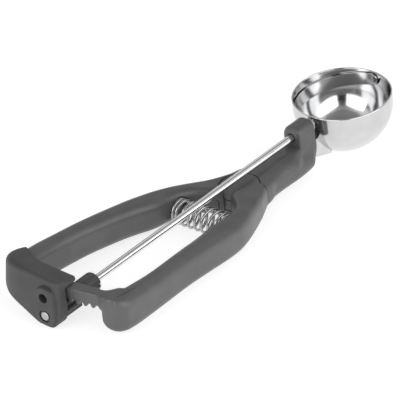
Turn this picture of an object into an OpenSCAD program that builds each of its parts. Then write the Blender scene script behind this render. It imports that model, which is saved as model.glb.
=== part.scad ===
// Lever ice cream scoop: squeezing the two handles sweeps a blade round the bowl.
// Every piece is modelled in the shaft frame: +X along the drive shaft towards the
// bowl, +Y towards the fixed handle, +Z out of the bowl's mouth, with the origin at
// the bowl's centre. laid() then lays the whole scoop on a table. Distances named
// in the sections below are measured backwards from the bowl unless they say more.

/* [Bowl] */
// Outer radius of the bowl
bowl_r = 23; // [21:0.25:25]
// Thickness of the bowl's wall
bowl_wall = 0.75; // [0.6:0.05:1]
// Height of the rim above the bowl's centre
rim_h = 3.75; // [2:0.25:4]
// Width of the tang that carries the bowl
tang_w = 6; // [5:0.25:7]
// Height of the tang where it enters the neck
tang_h = 8; // [7:0.25:8.5]

/* [Blade] */
// Thickness of the sweeping blade
blade_t = 0.6; // [0.5:0.05:0.8]
// Width of the sweeping blade
blade_w = 6; // [5:0.25:7]
// Gap between the blade's edges and the bowl
blade_gap = 0.35; // [0.3:0.05:0.5]
// Angle of the resting blade below the rim's level
blade_dip = 8.75; // [8:0.25:12]
// Radius of the rivet that the blade turns on at the far side
rivet_r = 1.2; // [1:0.05:1.4]

/* [Drive] */
// Radius of the drive shaft
shaft_r = 1.75; // [1.6:0.05:1.9]
// Module of the pinion and the rack
tooth_mod = 1.26; // [1.24:0.01:1.28]
// Distance from the hinge to the middle of the rack
rack_r = 124.5; // [122.5:0.5:126.5]
// Thickness of the rack's arm along the shaft
arm_t = 6; // [5:0.25:6.2]
// Height of the arm's back above its tooth roots
arm_h = 5.4; // [5:0.1:5.6]
// Reach of the arm past the shaft
arm_reach = 5.6; // [5:0.2:7]
// Length of the pinion's teeth
pinion_l = 12.4; // [11:0.2:13]
// Radius of the pinion's hub
hub_r = 4.7; // [4.3:0.1:5]
// Length of the pinion's hub
hub_l = 13.2; // [11:0.2:14]
// Radius of the pinion's rear journal
journal_r = 3.1; // [2.9:0.05:3.3]
// Radius of the pin that drives the pinion
drive_pin_r = 0.6; // [0.5:0.05:0.7]

/* [Neck] */
// Gap between the bowl and the neck's front face
neck_gap = 3.5; // [3.25:0.25:5]
// Length from the neck's front face to the hinge pin
neck_l = 48.5; // [47.5:0.5:50.5]
// Length of the tower that carries the shaft's front end
tower_l = 10.5; // [9:0.5:12]
// Radius of the tower's arch round the shaft
tower_r = 5.3; // [5:0.1:5.6]
// Half width of the neck at its rear
neck_half_w = 11.3; // [11:0.1:11.6]
// Depth of the neck's underside below the shaft
neck_bottom = 17.2; // [16.8:0.1:17.4]
// Depth of the neck's top below the shaft
neck_top = 4.2; // [4:0.1:4.6]
// Outer radius of the front bushing's sleeve
bush_r = 2.7; // [2.5:0.1:3]
// Length of the front bushing
bush_l = 7; // [5:0.5:8]

/* [Hinge] */
// Radius of the knuckles round the hinge pin
knuckle_r = 9.1; // [8.7:0.1:9.3]
// Gap of the seam round the knuckles
seam = 0.35; // [0.3:0.05:0.5]
// Radius of the hinge pin
hinge_pin_r = 1.9; // [1.7:0.05:2.1]
// Thickness of the fixed handle's tongue at the hinge
tongue_t = 5; // [4.6:0.1:5.4]
// Thickness of each hinge washer
washer_t = 0.5; // [0.4:0.05:0.6]
// Angle that a full squeeze turns the lever through
squeeze = 6.5; // [5:0.1:6.6]

/* [Handles] */
// Widest reach of the lever from the shaft
lever_out = 36.7; // [35:0.1:38]
// Widest reach of the fixed handle from the shaft
fixed_out = 35.2; // [34:0.1:36.5]
// Thickness of each handle across the grip
grip_t = 10.8; // [10:0.1:11.5]
// Height of each handle at its rear end
grip_h = 17.4; // [16.5:0.1:18]
// Height of the handles' rear top above the shaft
grip_top = 12.7; // [12.3:0.1:13]
// Rounding of the handles' edges
grip_round = 4.9; // [4:0.1:5.2]
// Reach of the lever's end behind the middle of the rack
lever_over = 2; // [1:0.25:3]

/* [Gear housing] */
// Reach of the housing behind the middle of the rack
house_over = 10.1; // [9.8:0.1:11]
// Thickness of the rear wall that carries the journal
house_wall = 5.9; // [5.4:0.1:6]
// Height of the housing's rear top edge above the shaft
house_top = 17.8; // [17.4:0.1:18.5]
// Depth of the housing's underside below the shaft
house_bottom = 6.8; // [6.5:0.1:7.2]
// Reach of the housing to the right of the shaft
house_right = 6.4; // [6:0.1:7]
// Protrusion of the pad round the two rear holes
pad_h = 2.4; // [2:0.1:3]
// Radius of the pad's round ends
pad_r = 5.2; // [4.9:0.1:5.6]
// Radius of the empty hole
hole_r = 2.4; // [2:0.1:2.6]
// Height of the empty hole above the shaft
hole_rise = 9.3; // [9:0.1:10]
// Depth of the empty hole
hole_depth = 7; // [5:0.5:7]

/* [Spring] */
// Distance from the hinge pin to the spring's axis
spring_back = 26; // [24:0.1:28]
// Depth of the spring's axis below the shaft
spring_drop = 8.8; // [8.3:0.1:9.2]
// Mean radius of the spring's coils
spring_r = 5.6; // [5.2:0.1:5.8]
// Radius of the spring's wire
wire_r = 0.6; // [0.5:0.05:0.7]
// Number of the spring's coils
spring_coils = 7; // [5:0.5:8]
// Reach of the spring into the fixed handle
spring_left = 15; // [14.5:0.1:15.2]
// Reach of the spring into the lever
spring_right = 15; // [14.5:0.1:15.2]

/* [Hidden] */
$fn = 64;

// Clearances
run_fit = 0.05;      // radial, for a shaft that turns in its hole
seat_fit = 0.02;     // for what is seated for good
eps = 0.01;          // how far a cutting tool passes through a face

// Places along the shaft
neck_front = bowl_r + neck_gap;
hinge_x = neck_front + neck_l;
rack_x = hinge_x + rack_r;
spring_x = hinge_x + spring_back;
lever_end = rack_x + lever_over;
house_rear = rack_x + house_over;

// Bowl and blade
bowl_in = bowl_r - bowl_wall;
blade_r = sqrt(pow(bowl_in - blade_gap, 2) - pow(blade_w / 2, 2));
blade_end = blade_r - blade_t;              // inner face of the blade's two ends
rivet_head_r = rivet_r + 1.1;
rivet_head_t = 0.8;

// Tang
tang_top = 7.4;                             // depth of its upper edge below the shaft
tang_rear = neck_front + 17;
tang_screw_x = neck_front + 9;

// Handle ends and the rounding where they start
grip_start = 3.6;
grip_grow = 25;                             // length over which that rounding grows
lever_tip = [6.5, 2.6];                     // rounding of the lever's rear end: across, upright
fixed_end = [3, 6];                         // the same for the fixed handle's
fixed_over = 3.5;                           // its reach behind the housing's front

// Hinge layers, from the lever's lower knuckle to its upper one
hinge_mid = -(neck_top + neck_bottom) / 2;
tongue_hi = hinge_mid + tongue_t / 2;
tongue_lo = hinge_mid - tongue_t / 2;
socket_r = knuckle_r + seam;
sleeve_r = hinge_pin_r + 1.1;
pin_skin = 1.6;                             // lever's skin over the pin's blind end
pin_head_r = hinge_pin_r + 1.2;
pin_head_t = 1.2;
tongue_half_w = 4.5;
knuckle_lo = -neck_bottom + 0.8;            // underside of the lever's lower knuckle
tongue_front = hinge_x - 26;
neck_screw_x = [tongue_front + 3.5, tongue_front + 10];
side_seam = hinge_x - 5.7;                  // where the seam leaves the neck's sides

// Rack and pinion
pinion_teeth = 8;
press_angle = 25;
backlash = 0.3;
pitch_r = tooth_mod * pinion_teeth / 2;
base_r = pitch_r * cos(press_angle);
tooth_pitch = PI * tooth_mod;
tooth_half = (tooth_pitch - backlash) / 4;  // half a tooth's width on the pitch line
rack_tip = pitch_r - 0.64 * tooth_mod;
rack_root = pitch_r + 1.15 * tooth_mod;
pinion_tip = pitch_r + 0.7 * tooth_mod;
pinion_root = pitch_r - 0.92 * tooth_mod;
tooth_step = tooth_pitch / rack_r * 180 / PI;
rack_first = -1;                            // teeth left of the shaft
rack_last = 4;                              // teeth right of the shaft
tooth_shift = 1.1;                          // how far the resting teeth lie left of the mid position
arm_in = rack_r - arm_t / 2;
arm_out = rack_r + arm_t / 2;
arm_top = rack_root + arm_h;
arm_root_y = 29;                            // end of the arm's root inside the lever
arm_fillet = 4;
tooth_face = arm_t - 1;

// Gear housing
house_front = rack_x - 5.3;
house_left = fixed_out;
wall_x = house_rear - house_wall;           // front face of the rear wall
pad_x = house_rear + pad_h;
chan_len = 30;                              // longer than the housing, as the cuts run through it
past_side = 5;
chan_top = arm_top + 0.35;
chan_out = arm_out + 0.85;
chan_in = arm_in - 0.7;
chan_end = arm_reach + rack_r * squeeze * PI / 180 + 1.4;
bay_left = pinion_tip + 1.2;                // left wall of the pinion's bay
top_fall = 17.7;                            // degrees that the top falls towards the bowl
top_rise = 4.1;                             // degrees that the top rises towards the left
rear_turn = 4.4;                            // degrees that the rear face turns from square
house_corner = 20.6;                        // rounding of its rear left corner at the top
house_corner_low = 16;                      // the same at the bottom
house_edge = 2.5;                           // rounding of its top edges
house_edge_left = 6;                        // the same at the left
house_rear_round = 2.4;                     // rounding of its upright right edges
house_front_round = 2.4;
house_draft = 0.5;
house_foot = 6.5;                           // rounding of its lower right edge
lug = [7.8, 4, 8.6];                        // plate of the fixed handle in the housing
lug_bar = 4.2;                              // height of the bar that carries it
lug_x = rack_x - 1.3;
lug_y = house_left - 4.6;
lug_z = 4.6;
lug_joint = 0.08;                           // gap of the seam between handle and housing

// Pinion and shaft
gear_rear = wall_x - washer_t - 0.1;
gear_front = gear_rear - pinion_l;
hub_front = gear_front - hub_l;
slot_l = 3.3;
drive_pin_x = hub_front + slot_l - drive_pin_r - 0.3;
shaft_head_r = 2.35;
shaft_head_t = 0.8;
journal_end = pad_x - 0.7;
shaft_rear = journal_end + shaft_head_t + seat_fit;
shaft_front = blade_end - 0.7;
clip_t = 0.7;
clip_x = bowl_r + neck_gap / 2 - 0.75;

// Screws
screw_r = 1.25;
screw_head_r = 2.2;
screw_head_t = 1.3;

// Rest on the table: the bowl touches, and so does the housing's rear bottom edge
heel_d = norm([house_rear, house_bottom]);
rest_tilt = asin(bowl_r / heel_d) - atan(house_bottom / house_rear);
rear_reach = pad_x * cos(rest_tilt) + (hole_rise + pad_r) * sin(rest_tilt);
front_reach = (bowl_r + rivet_head_t) * cos(rest_tilt) + rivet_head_r * sin(rest_tilt);
origin_x = (rear_reach - front_reach) / 2;
origin_y = (lever_out - fixed_out) / 2;

// Colours
steel = [0.80, 0.81, 0.83];
dull_steel = [0.62, 0.63, 0.65];
grip_grey = [0.30, 0.30, 0.31];
matt_grey = [0.25, 0.25, 0.26];
black = [0.08, 0.08, 0.085];

// Cubic curve through a table of [u, value] points whose u rises steadily
function slope(t, i) =
    i == 0 ? (t[1][1] - t[0][1]) / (t[1][0] - t[0][0])
    : i == len(t) - 1 ? (t[i][1] - t[i-1][1]) / (t[i][0] - t[i-1][0])
    : (t[i+1][1] - t[i-1][1]) / (t[i+1][0] - t[i-1][0]);
function span(t, u, i = 0) = (i >= len(t) - 2 || u <= t[i+1][0]) ? i : span(t, u, i + 1);
function hermite(t, u, i) =
    let (w = t[i+1][0] - t[i][0], s = (u - t[i][0]) / w)
    t[i][1] * (2*s*s*s - 3*s*s + 1) + slope(t, i) * w * (s*s*s - 2*s*s + s)
    + t[i+1][1] * (3*s*s - 2*s*s*s) + slope(t, i + 1) * w * (s*s*s - s*s);
function curve(t, u) = hermite(t, u, span(t, u));

// Rounded section across the shaft: four corners of steps points each. The upper
// corners are w wide and h high.
function corner(y, z, w, h, a, steps) =
    [for (i = [0:steps]) [y + w * cos(a + 90 * i / steps), z + h * sin(a + 90 * i / steps)]];
function section(y0, y1, z0, z1, w, h, r_lo, steps = 5) =
    concat(corner(y1 - w, z1 - h, w, h, 0, steps),
           corner(y0 + w, z1 - h, w, h, 90, steps),
           corner(y0 + r_lo, z0 + r_lo, r_lo, r_lo, 180, steps),
           corner(y1 - r_lo, z0 + r_lo, r_lo, r_lo, 270, steps));

// How far a corner of radius r draws in, at the distance d from the end face
function draw_in(d, r) = d >= r ? 0 : r - sqrt(r * r - pow(r - d, 2));

// Skin over rings of equal length. Each ring runs anticlockwise when it is seen from
// the first ring's side.
module skin(rings) {
    n = len(rings[0]);
    last = len(rings) - 1;
    sides = [for (j = [0:last-1]) for (i = [0:n-1])
        let (a = j * n + i, b = j * n + (i + 1) % n)
        each [[a, b, a + n], [b, b + n, a + n]]];
    polyhedron([for (ring = rings) each ring],
               concat(sides, [[for (i = [n-1:-1:0]) i], [for (i = [0:n-1]) last * n + i]]),
               convexity = 6);
}

// Skin over sections across the shaft, listed from the front to the rear
module loft(xs, sections) {
    skin([for (j = [0:len(xs)-1]) [for (p = sections[j]) [xs[j], p[0], p[1]]]]);
}

module laid() {
    translate([origin_x, origin_y, bowl_r])
        rotate([0, -rest_tilt, 0])
            children();
}

// Cylinder on the shaft's axis, from x0 to x1 behind the bowl's centre
module rod(x0, x1, r) {
    translate([-x1, 0, 0]) rotate([0, 90, 0]) cylinder(h = x1 - x0, r = r);
}

module tube(x0, x1, r, bore) {
    difference() {
        rod(x0, x1, r);
        rod(x0 - 1, x1 + 1, bore);
    }
}

// Upright cylinder at x behind the bowl's centre
module post(x, y, z0, z1, r) {
    translate([-x, y, z0]) cylinder(h = z1 - z0, r = r);
}

// Outline in the X-Z plane given a width across the shaft
module across(w) {
    translate([0, w / 2, 0]) rotate([90, 0, 0]) linear_extrude(w) children();
}

// Countersunk screw that points up from z0 to z1, and its hole
module screw(z0, z1) {
    translate([0, 0, z0]) cylinder(h = screw_head_t, r1 = screw_head_r, r2 = screw_r);
    translate([0, 0, z0 + screw_head_t - eps]) cylinder(h = z1 - z0 - screw_head_t, r = screw_r);
}

module screw_hole(z0, z1) {
    translate([0, 0, z0 - 6]) cylinder(h = 6 + eps, r = screw_head_r + seat_fit);
    translate([0, 0, z0]) cylinder(h = screw_head_t, r1 = screw_head_r + seat_fit, r2 = screw_r + seat_fit);
    translate([0, 0, z0]) cylinder(h = z1 - z0 + 0.3, r = screw_r + seat_fit);
}

screw_z0 = -neck_bottom + 0.3;
tang_screw_z1 = -tang_top - tang_h + 5;
neck_screw_z1 = tongue_hi - 0.8;

// Bowl
module cup(r) {
    intersection() {
        sphere(r = r, $fn = 96);
        translate([-2 * r, -2 * r, -2 * r]) cube([4 * r, 4 * r, 2 * r + eps]);
    }
    cylinder(h = rim_h, r = r, $fn = 96);
}

module bowl() {
    color(steel) laid() difference() {
        cup(bowl_r);
        cup(bowl_in);
        translate([0, 0, rim_h - eps]) cylinder(h = 1, r = bowl_in, $fn = 96);
        rod(bowl_in - 2, bowl_r + 1, shaft_r + run_fit);
        rod(-bowl_r - 1, -bowl_in + 2, rivet_r + seat_fit);
    }
}

// The tang is a bar in the neck that widens into a saddle under the bowl
module bowl_tang() {
    color(steel) laid() difference() {
        across(tang_w) polygon([
            [-tang_rear, -tang_top], [-neck_front, -tang_top], [-bowl_r * 0.93, -tang_top + 0.6],
            [-bowl_r * 0.5, -bowl_r * 0.7], [-bowl_r * 0.62, -bowl_r * 0.84],
            [-neck_front - 0.5, -tang_top - tang_h], [-tang_rear, -tang_top - tang_h]]);
        sphere(r = bowl_r + seat_fit, $fn = 96);
        translate([-tang_screw_x, 0, 0]) screw_hole(screw_z0, tang_screw_z1);
    }
}

module tang_screw() {
    color(dull_steel) laid() translate([-tang_screw_x, 0, 0]) screw(screw_z0, tang_screw_z1);
}

// The blade turns on this rivet through the bowl's far wall
module blade_rivet() {
    color(steel) laid() {
        rod(-bowl_r - 0.2, -blade_end + 0.4, rivet_r);
        rod(-bowl_r - rivet_head_t, -bowl_r - 0.05, rivet_head_r);
        rod(-blade_end + 0.15, -blade_end + 0.85, rivet_head_r - 0.2);
    }
}

// Neck
module front_bushing() {
    color(steel) laid() {
        tube(neck_front - 0.1, neck_front + bush_l, bush_r, shaft_r + run_fit);
        tube(neck_front - 1.1, neck_front - seat_fit, bush_r + 0.9, shaft_r + run_fit);
    }
}

nose_r = 7;
neck_mid_w = neck_half_w - 1.9;
neck_w_keys = [[neck_front, tower_r + 0.1], [neck_front + 3.5, tower_r + 0.8],
               [neck_front + 6.5, neck_mid_w - 1.45], [neck_front + 9.9, neck_mid_w - 0.25],
               [neck_front + 14, neck_mid_w], [side_seam - 9, neck_mid_w],
               [side_seam - 4, neck_mid_w + 1.3], [side_seam, neck_half_w]];

// Width of the rounding of the neck's top edges, and its greatest height
shoulder_keys = [[neck_front, 8.2], [neck_front + 10.5, 7.6], [side_seam - 21, 6.6],
                 [side_seam - 9, 4.9], [side_seam, grip_start]];
shoulder_h = 5.6;

module neck_body() {
    xs = concat([for (i = [0:5]) neck_front + nose_r * (1 - cos(18 * i))],
                [for (i = [1:7]) neck_front + nose_r + (side_seam - neck_front - nose_r) * i / 7]);
    loft(-xs, [for (x = xs)
        let (w = curve(neck_w_keys, x),
             z0 = -neck_bottom + draw_in(x - neck_front, nose_r),
             half_h = (-neck_top - z0) / 2 - 0.05,
             shoulder = min(curve(shoulder_keys, x), w - 0.2))
        section(-w, w, z0, -neck_top, shoulder, min(shoulder, shoulder_h, half_h), min(4.6, half_h))]);
}

// The tower stands on the neck's front and holds the front bushing. It's arched on
// the left and squarer on the right.
tower_side_r = 3.2;

module tower() {
    foot = -neck_top - 5;
    rod(neck_front, neck_front + tower_l, tower_r);
    translate([-neck_front, 0, 0]) rotate([0, -90, 0])
        linear_extrude(tower_l)
            polygon(concat([[foot, -tower_r]],
                           [for (i = [0:6]) [tower_r - tower_side_r + tower_side_r * sin(15 * i),
                                             tower_side_r - tower_r - tower_side_r * cos(15 * i)]],
                           [[tower_r, 0], [0, 0], [0, tower_r], [foot, tower_r]]));
}

module neck_housing() {
    color(grip_grey) laid() difference() {
        union() {
            neck_body();
            tower();
        }
        post(hinge_x, 0, -neck_bottom - 1, 2, socket_r);
        rod(neck_front - 1, neck_front + bush_l + seat_fit, bush_r + seat_fit);
        rod(neck_front, neck_front + tower_l + 1, shaft_r + 0.35);
        translate([-tang_rear - seat_fit, -tang_w / 2 - seat_fit, -tang_top - tang_h - seat_fit])
            cube([tang_rear, tang_w + 2 * seat_fit, tang_h + 2 * seat_fit]);
        translate([-hinge_x, -tongue_half_w - seat_fit, tongue_lo - seat_fit])
            cube([hinge_x - tongue_front + seat_fit, 2 * (tongue_half_w + seat_fit),
                  tongue_t + 2 * seat_fit]);
        translate([-tang_screw_x, 0, 0]) screw_hole(screw_z0, tang_screw_z1);
        for (x = neck_screw_x)
            translate([-x, 0, 0]) screw_hole(screw_z0, neck_screw_z1);
    }
}

module neck_screws() {
    color(dull_steel) laid() for (x = neck_screw_x)
        translate([-x, 0, 0]) screw(screw_z0, neck_screw_z1);
}

// Handles. The keys run from u = 0 at the hinge to u = 1 at the middle of the rack,
// and give a share of the way from the size at the neck to the size at the rear.
lever_keys = [[-0.046, 0], [-0.032, 0.035], [0, 0.118], [0.04, 0.224], [0.161, 0.5],
              [0.237, 0.634], [0.281, 0.685], [0.353, 0.74], [0.442, 0.78], [0.602, 0.846],
              [0.763, 0.913], [0.924, 0.99], [1.02, 1]];
fixed_keys = [[-0.046, 0], [-0.032, 0.038], [0, 0.126], [0.04, 0.238], [0.161, 0.531],
              [0.237, 0.674], [0.281, 0.728], [0.353, 0.787], [0.442, 0.828], [0.643, 0.92],
              [0.803, 0.985], [0.867, 0.985], [0.924, 0.965], [1.02, 0.88]];
inner_rear = [[0.369, 0.68], [0.45, 0.764], [0.546, 0.83], [0.643, 0.892],
              [0.739, 0.938], [0.803, 0.955], [1.02, 0.965]];
lever_inner = concat([[-0.046, 0.035], [0.055, 0.038], [0.072, 0.07], [0.092, 0.174], [0.13, 0.4],
                      [0.182, 0.53], [0.236, 0.595], [0.3, 0.61], [0.345, 0.645]], inner_rear);
fixed_inner = concat([[-0.046, 0.035], [0.055, 0.038], [0.072, 0.07], [0.092, 0.17], [0.13, 0.385],
                      [0.182, 0.53], [0.236, 0.595], [0.3, 0.61], [0.345, 0.645]], inner_rear);
top_keys = [[-0.046, 0], [0, 0.006], [0.04, 0.03], [0.161, 0.207], [0.281, 0.337],
            [0.442, 0.527], [0.602, 0.683], [0.763, 0.79], [0.924, 0.917], [1.012, 1]];
bottom_keys = [[-0.046, 0], [0, 0.02], [0.04, 0.05], [0.161, 0.184], [0.281, 0.28],
               [0.442, 0.488], [0.602, 0.668], [0.763, 0.764], [0.924, 0.896], [1.012, 1]];

// One grip on the +Y side, from x0 to x1 behind the bowl. Its rear end is rounded by
// end[0] on the outer side, and by end[1] above and below.
module grip(keys, inner, out, x0, x1, end) {
    steps = 30;
    end_y = end[0];
    straight = x1 - end_y;
    xs = concat([for (i = [0:steps]) x0 + (straight - x0) * i / steps],
                [for (i = [1:6]) x1 - end_y * (1 - sin(15 * i))]);
    loft(-xs, [for (x = xs)
        let (u = (x - hinge_x) / rack_r,
             d = x1 - x,
             grown = min(max((x - side_seam) / grip_grow, 0), 1),
             y1 = neck_half_w + (out - neck_half_w) * curve(keys, u) - draw_in(d, end_y),
             y0 = (lever_out - grip_t) * curve(inner, u),
             z1 = -neck_top + (grip_top + neck_top) * curve(top_keys, u) - draw_in(d, end[1]),
             z0 = -neck_bottom + (grip_top - grip_h + neck_bottom) * curve(bottom_keys, u)
                  + draw_in(d, end[1]),
             half_w = (y1 - y0) / 2 - 0.05,
             r = min(grip_start + (grip_round - grip_start) * grown, half_w))
        section(y0, y1, z0, z1, r, r, min(grip_round * 0.9, half_w))]);
}

// Pocket for one end of the spring, open at the inner face
module spring_pocket(reach) {
    translate([-spring_x, 0, -spring_drop]) rotate([-90, 0, 0])
        cylinder(h = reach + seat_fit, r = spring_r + wire_r + 0.4);
}

module fixed_handle() {
    color(grip_grey) laid() difference() {
        union() {
            difference() {
                grip(fixed_keys, fixed_inner, fixed_out, side_seam + seat_fit, house_front + fixed_over, fixed_end);
                post(hinge_x, 0, -neck_bottom - 1, 2, socket_r);
                housing_cut();
            }
            post(hinge_x, 0, tongue_lo, tongue_hi, knuckle_r);
            translate([-hinge_x - knuckle_r - 2.5, 3.6, tongue_lo])
                cube([knuckle_r + 2.5, knuckle_r - 4.2, tongue_t]);
            translate([-hinge_x, -tongue_half_w, tongue_lo])
                cube([hinge_x - tongue_front, 2 * tongue_half_w, tongue_t]);
            housing_lug(0, lug_x - lug[0] - 6);
        }
        post(hinge_x, 0, tongue_lo - 1, tongue_hi + 1, sleeve_r + seat_fit);
        for (x = neck_screw_x)
            translate([-x, 0, 0]) screw_hole(screw_z0, neck_screw_z1);
        spring_pocket(spring_left);
        housing_screw_holes();
    }
}

module lever_handle() {
    color(grip_grey) laid() difference() {
        union() {
            difference() {
                mirror([0, 1, 0]) grip(lever_keys, lever_inner, lever_out, side_seam + seam, lever_end, lever_tip);
                post(hinge_x, 0, tongue_lo - washer_t, tongue_hi + washer_t, socket_r);
            }
            post(hinge_x, 0, tongue_hi + washer_t, -neck_top, knuckle_r);
            post(hinge_x, 0, knuckle_lo, tongue_lo - washer_t, knuckle_r);
        }
        post(hinge_x, 0, -neck_bottom - 1, -neck_top - pin_skin + 0.1, hinge_pin_r + run_fit);
        post(hinge_x, 0, knuckle_lo - 2, knuckle_lo + pin_head_t + 0.4, pin_head_r + 0.2);
        mirror([0, 1, 0]) spring_pocket(spring_right);
        arm_bar();
    }
}

// Hinge
module hinge_pin() {
    color(steel) laid() {
        post(hinge_x, 0, knuckle_lo + 0.3, -neck_top - pin_skin, hinge_pin_r);
        post(hinge_x, 0, knuckle_lo + 0.2, knuckle_lo + 0.2 + pin_head_t, pin_head_r);
    }
}

module hinge_sleeve() {
    color(dull_steel) laid() difference() {
        post(hinge_x, 0, tongue_lo, tongue_hi, sleeve_r);
        post(hinge_x, 0, tongue_lo - 1, tongue_hi + 1, hinge_pin_r + seat_fit);
    }
}

module hinge_washers() {
    gap = 0.05;
    color(dull_steel) laid() for (z = [tongue_lo - washer_t + gap, tongue_hi + gap])
        difference() {
            post(hinge_x, 0, z, z + washer_t - 2 * gap, sleeve_r + 2.5);
            post(hinge_x, 0, z - 1, z + washer_t + 1, hinge_pin_r + run_fit);
        }
}

// Wire of the return spring, swept round its coils between the two seats. The coils
// lie closer together at both ends.
coil_keys = [[0, 0], [0.14, 0.1], [0.5, 0.5], [0.86, 0.9], [1, 1]];

module return_spring() {
    sides = 8;
    per_turn = 20;
    rings = round(spring_coils * per_turn);
    y0 = -spring_right + wire_r + 0.1;
    y1 = spring_left - wire_r - 0.1;
    points = [for (j = [0:rings]) for (i = [0:sides-1])
        let (a = 360 * j / per_turn + 90,
             t = j / rings,
             y = y0 + (y1 - y0) * curve(coil_keys, t),
             b = 360 * i / sides,
             r = spring_r + wire_r * cos(b))
        [-spring_x + r * cos(a), y + wire_r * sin(b), -spring_drop + r * sin(a)]];
    faces = concat([[for (i = [0:sides-1]) i]],
                   [for (j = [0:rings-1]) for (i = [0:sides-1])
                       let (p = j * sides + i, q = j * sides + (i + 1) % sides)
                       each [[p, p + sides, q], [q, p + sides, q + sides]]],
                   [[for (i = [sides-1:-1:0]) rings * sides + i]]);
    color(steel) laid() polyhedron(points, faces, convexity = 10);
}

// Rack. Its teeth point at the hinge pin and hang from a curved arm.
module arm_ring(z0, z1, r_in, r_out) {
    translate([-hinge_x, 0, z0]) difference() {
        cylinder(h = z1 - z0, r = r_out, $fn = 180);
        translate([0, 0, -1]) cylinder(h = z1 - z0 + 2, r = r_in, $fn = 180);
    }
}

// The arm, and the fillet that joins it to the lever
module arm_bar() {
    intersection() {
        union() {
            arm_ring(rack_root, arm_top, arm_in, arm_out);
            translate([0, 0, rack_root]) linear_extrude(arm_h)
                arm_fillet_outline();
        }
        translate([-lever_end - 5, -arm_root_y, 0]) cube([40, arm_root_y + arm_reach, arm_top + 5]);
    }
    // the arm grows deeper where it enters the lever
    intersection() {
        arm_ring(rack_tip, rack_root + eps, arm_in, arm_out);
        translate([-lever_end - 5, 0, 0]) rotate([90, 0, 90]) linear_extrude(40)
            polygon([[-arm_root_y, rack_root + eps], [-arm_root_y, rack_tip], [-26, rack_tip + 0.6],
                     [-23.5, rack_root - 0.9], [-20.5, rack_root + eps]]);
    }
}

// It's sunk a little in the lever's inner face, so that it leaves the face at a clear angle
module arm_fillet_outline() {
    y = (lever_out - grip_t) * curve(lever_inner, 1) + 0.2;
    x = hinge_x + sqrt(arm_in * arm_in - y * y);
    difference() {
        polygon([[-x - 1, -y + arm_fillet], [-x - 1, -y - 1.5], [-x + arm_fillet, -y - 1.5],
                 [-x + arm_fillet, -y]]);
        translate([-x + arm_fillet, -y + arm_fillet]) circle(r = arm_fillet);
    }
}

module rack_tooth() {
    hi = tooth_half + (rack_root + 0.3 - pitch_r) * tan(press_angle);
    lo = tooth_half + (rack_tip - pitch_r) * tan(press_angle);
    translate([-rack_r - tooth_face / 2, 0, 0]) rotate([90, 0, 90]) linear_extrude(tooth_face)
        polygon([[-hi, rack_root + 0.3], [-lo, rack_tip], [lo, rack_tip], [hi, rack_root + 0.3]]);
}

module rack_arm() {
    color(grip_grey) laid() {
        arm_bar();
        for (k = [rack_first:rack_last])
            translate([-hinge_x, 0, 0]) rotate([0, 0, (k + 0.5 - tooth_shift / tooth_pitch) * tooth_step]) rack_tooth();
    }
}

// Gear housing
function arc(x, y, rx, ry, a0, a1, steps) =
    [for (i = [0:steps]) let (a = a0 + (a1 - a0) * i / steps) [x + rx * cos(a), y + ry * sin(a)]];
function house_roof(p) =
    house_top - (p[0] + house_rear) * tan(top_fall) + (p[1] + house_right - house_rear_round) * tan(top_rise);

// The seam with the handle, from u = 0 at the left side: how far it lies in front of
// the housing's front face
seam_keys = [[0, 9.6], [2.2, 9.1], [7.2, 6.7], [11.7, 3.8], [16.2, 1], [20.2, 0.15], [22.2, 0]];
function house_seam(u0, gap = 0) =
    let (steps = 12, u1 = seam_keys[len(seam_keys) - 1][0])
    [for (i = [0:steps]) let (u = u0 + (u1 - u0) * i / steps)
        [-house_front + curve(seam_keys, u) + gap, house_left - u]];

// One level of its plan outline: a runs from 0 to 90 over the rounded top edge, whose
// rounding grows along the rear left corner. With draft above 0 it's the underside's.
function house_ring(a, draft = 0) =
    let (c = draft > 0 ? house_corner_low : house_corner,
         inset = house_edge * (1 - cos(a)) - draft,
         k = max(house_rear_round, inset + 0.1),
         kf = max(house_front_round, inset + 0.1),
         steps = 14,
         edges = [for (i = [0:steps]) house_edge + (house_edge_left - house_edge) * i / steps],
         cy = house_left + draft - c,
         cx = -house_rear + (cy + house_right - house_rear_round) * tan(rear_turn) + c / cos(rear_turn),
         right = concat(arc(-house_front - kf, -house_right + kf, kf, kf - inset, 360, 270, 4),
                        arc(-house_rear + k, -house_right + k, k - inset, k - inset, 270, 180 - rear_turn, 4)),
         corner = [for (i = [0:steps])
             let (t = 180 - rear_turn + (rear_turn - 90) * i / steps, r = c - edges[i] * (1 - cos(a)))
             [cx + r * cos(t), cy + r * sin(t)]])
    concat([for (p = right) [p[0], p[1], house_edge]],
           [for (i = [0:steps]) [corner[i][0], corner[i][1], edges[i]]],
           [for (p = house_seam(house_edge_left * (1 - cos(a)))) [p[0], p[1], house_edge_left]]);

// The housing's outer form: its top falls towards the bowl and rises towards the left,
// its underside rises towards the left, and its right side turns under the shaft
module housing_block() {
    levels = [0, 18, 36, 54, 72, 90];
    difference() {
        skin(concat([[for (p = house_ring(0, house_draft)) [p[0], p[1], -house_bottom]]],
                    [for (a = levels) [for (p = house_ring(a))
                        [p[0], p[1], house_roof(p) - p[2] * (1 - sin(a))]]]));
        under_housing();
        translate([-house_rear - 1, 0, 0]) rotate([90, 0, 90]) linear_extrude(40) difference() {
            translate([-house_right - 2, -house_bottom - 2]) square([house_foot + 2, house_foot + 2]);
            translate([-house_right + house_foot, -house_bottom + house_foot]) circle(r = house_foot);
        }
    }
}

module under_housing() {
    translate([-house_rear - 1, 0, 0]) rotate([90, 0, 90]) linear_extrude(40)
        polygon([[5.8, -house_bottom - eps], [7.4, -6.35], [12, -4.4], [16.6, -2.3], [21.9, 0.1],
                 [26, 1.6], [28.2, 2.9], [30, 3.9], [32, 4.6], [36, 5.2], [45, 5.2],
                 [45, -house_bottom - 1], [5.8, -house_bottom - 1]]);
}

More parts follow.
